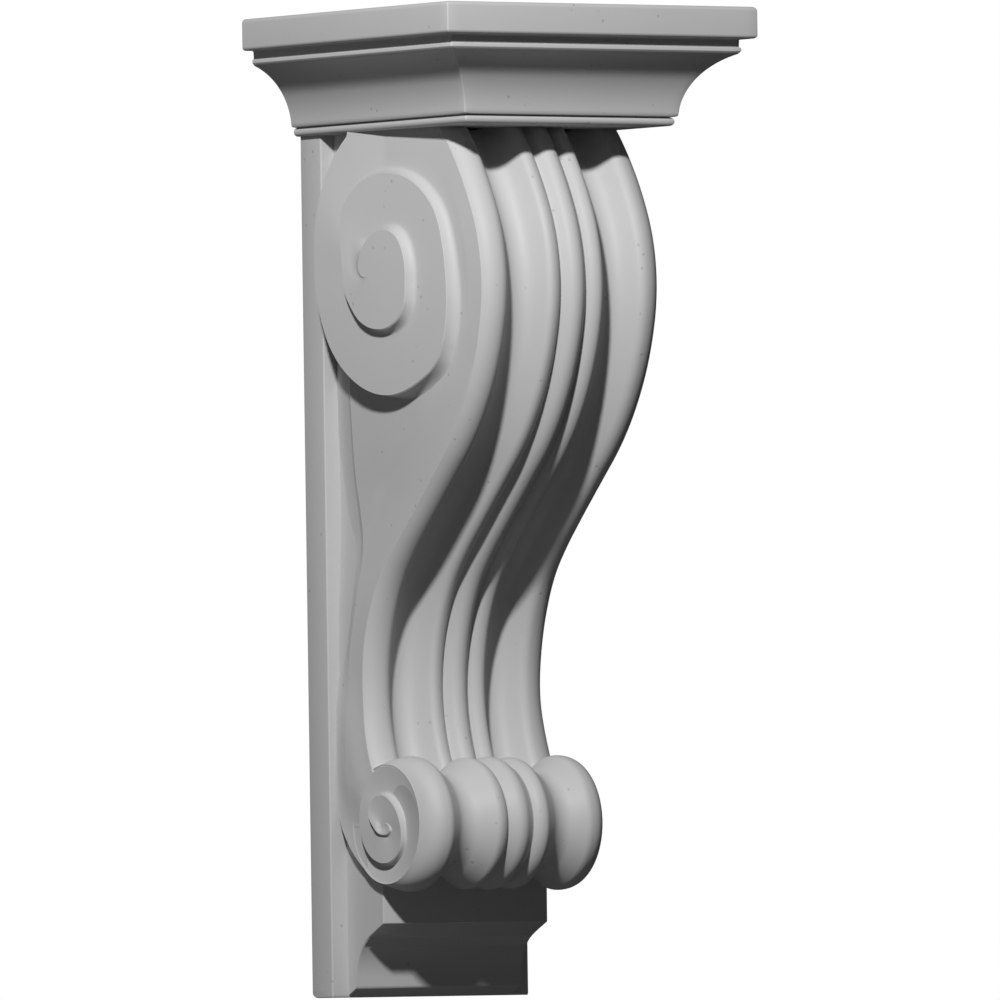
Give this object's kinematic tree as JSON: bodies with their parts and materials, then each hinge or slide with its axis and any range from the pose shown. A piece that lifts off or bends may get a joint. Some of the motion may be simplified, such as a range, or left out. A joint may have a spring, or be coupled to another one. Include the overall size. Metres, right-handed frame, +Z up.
{
  "type": "corbel",
  "caption": "Moulded wall corbel: a mitred cove cap over an S-curved lobed bracket, with scrolled sides, a curled foot and a small foot block, on a flat wall plate.",
  "frame": {"origin": "on the flat back that goes against the wall, in the middle of the width and at half the height", "axes": "+X across the width, to the right for someone who faces the front; +Y into the wall; +Z up"},
  "size_m": [0.2046, 0.2036, 0.54],
  "materials": {
    "grey_primer": "matte grey primer with a faint sheen over dense moulded foam"
  },
  "bodies": {
    "root": {"corbel": "grey_primer"}
  },
  "joints": []
}
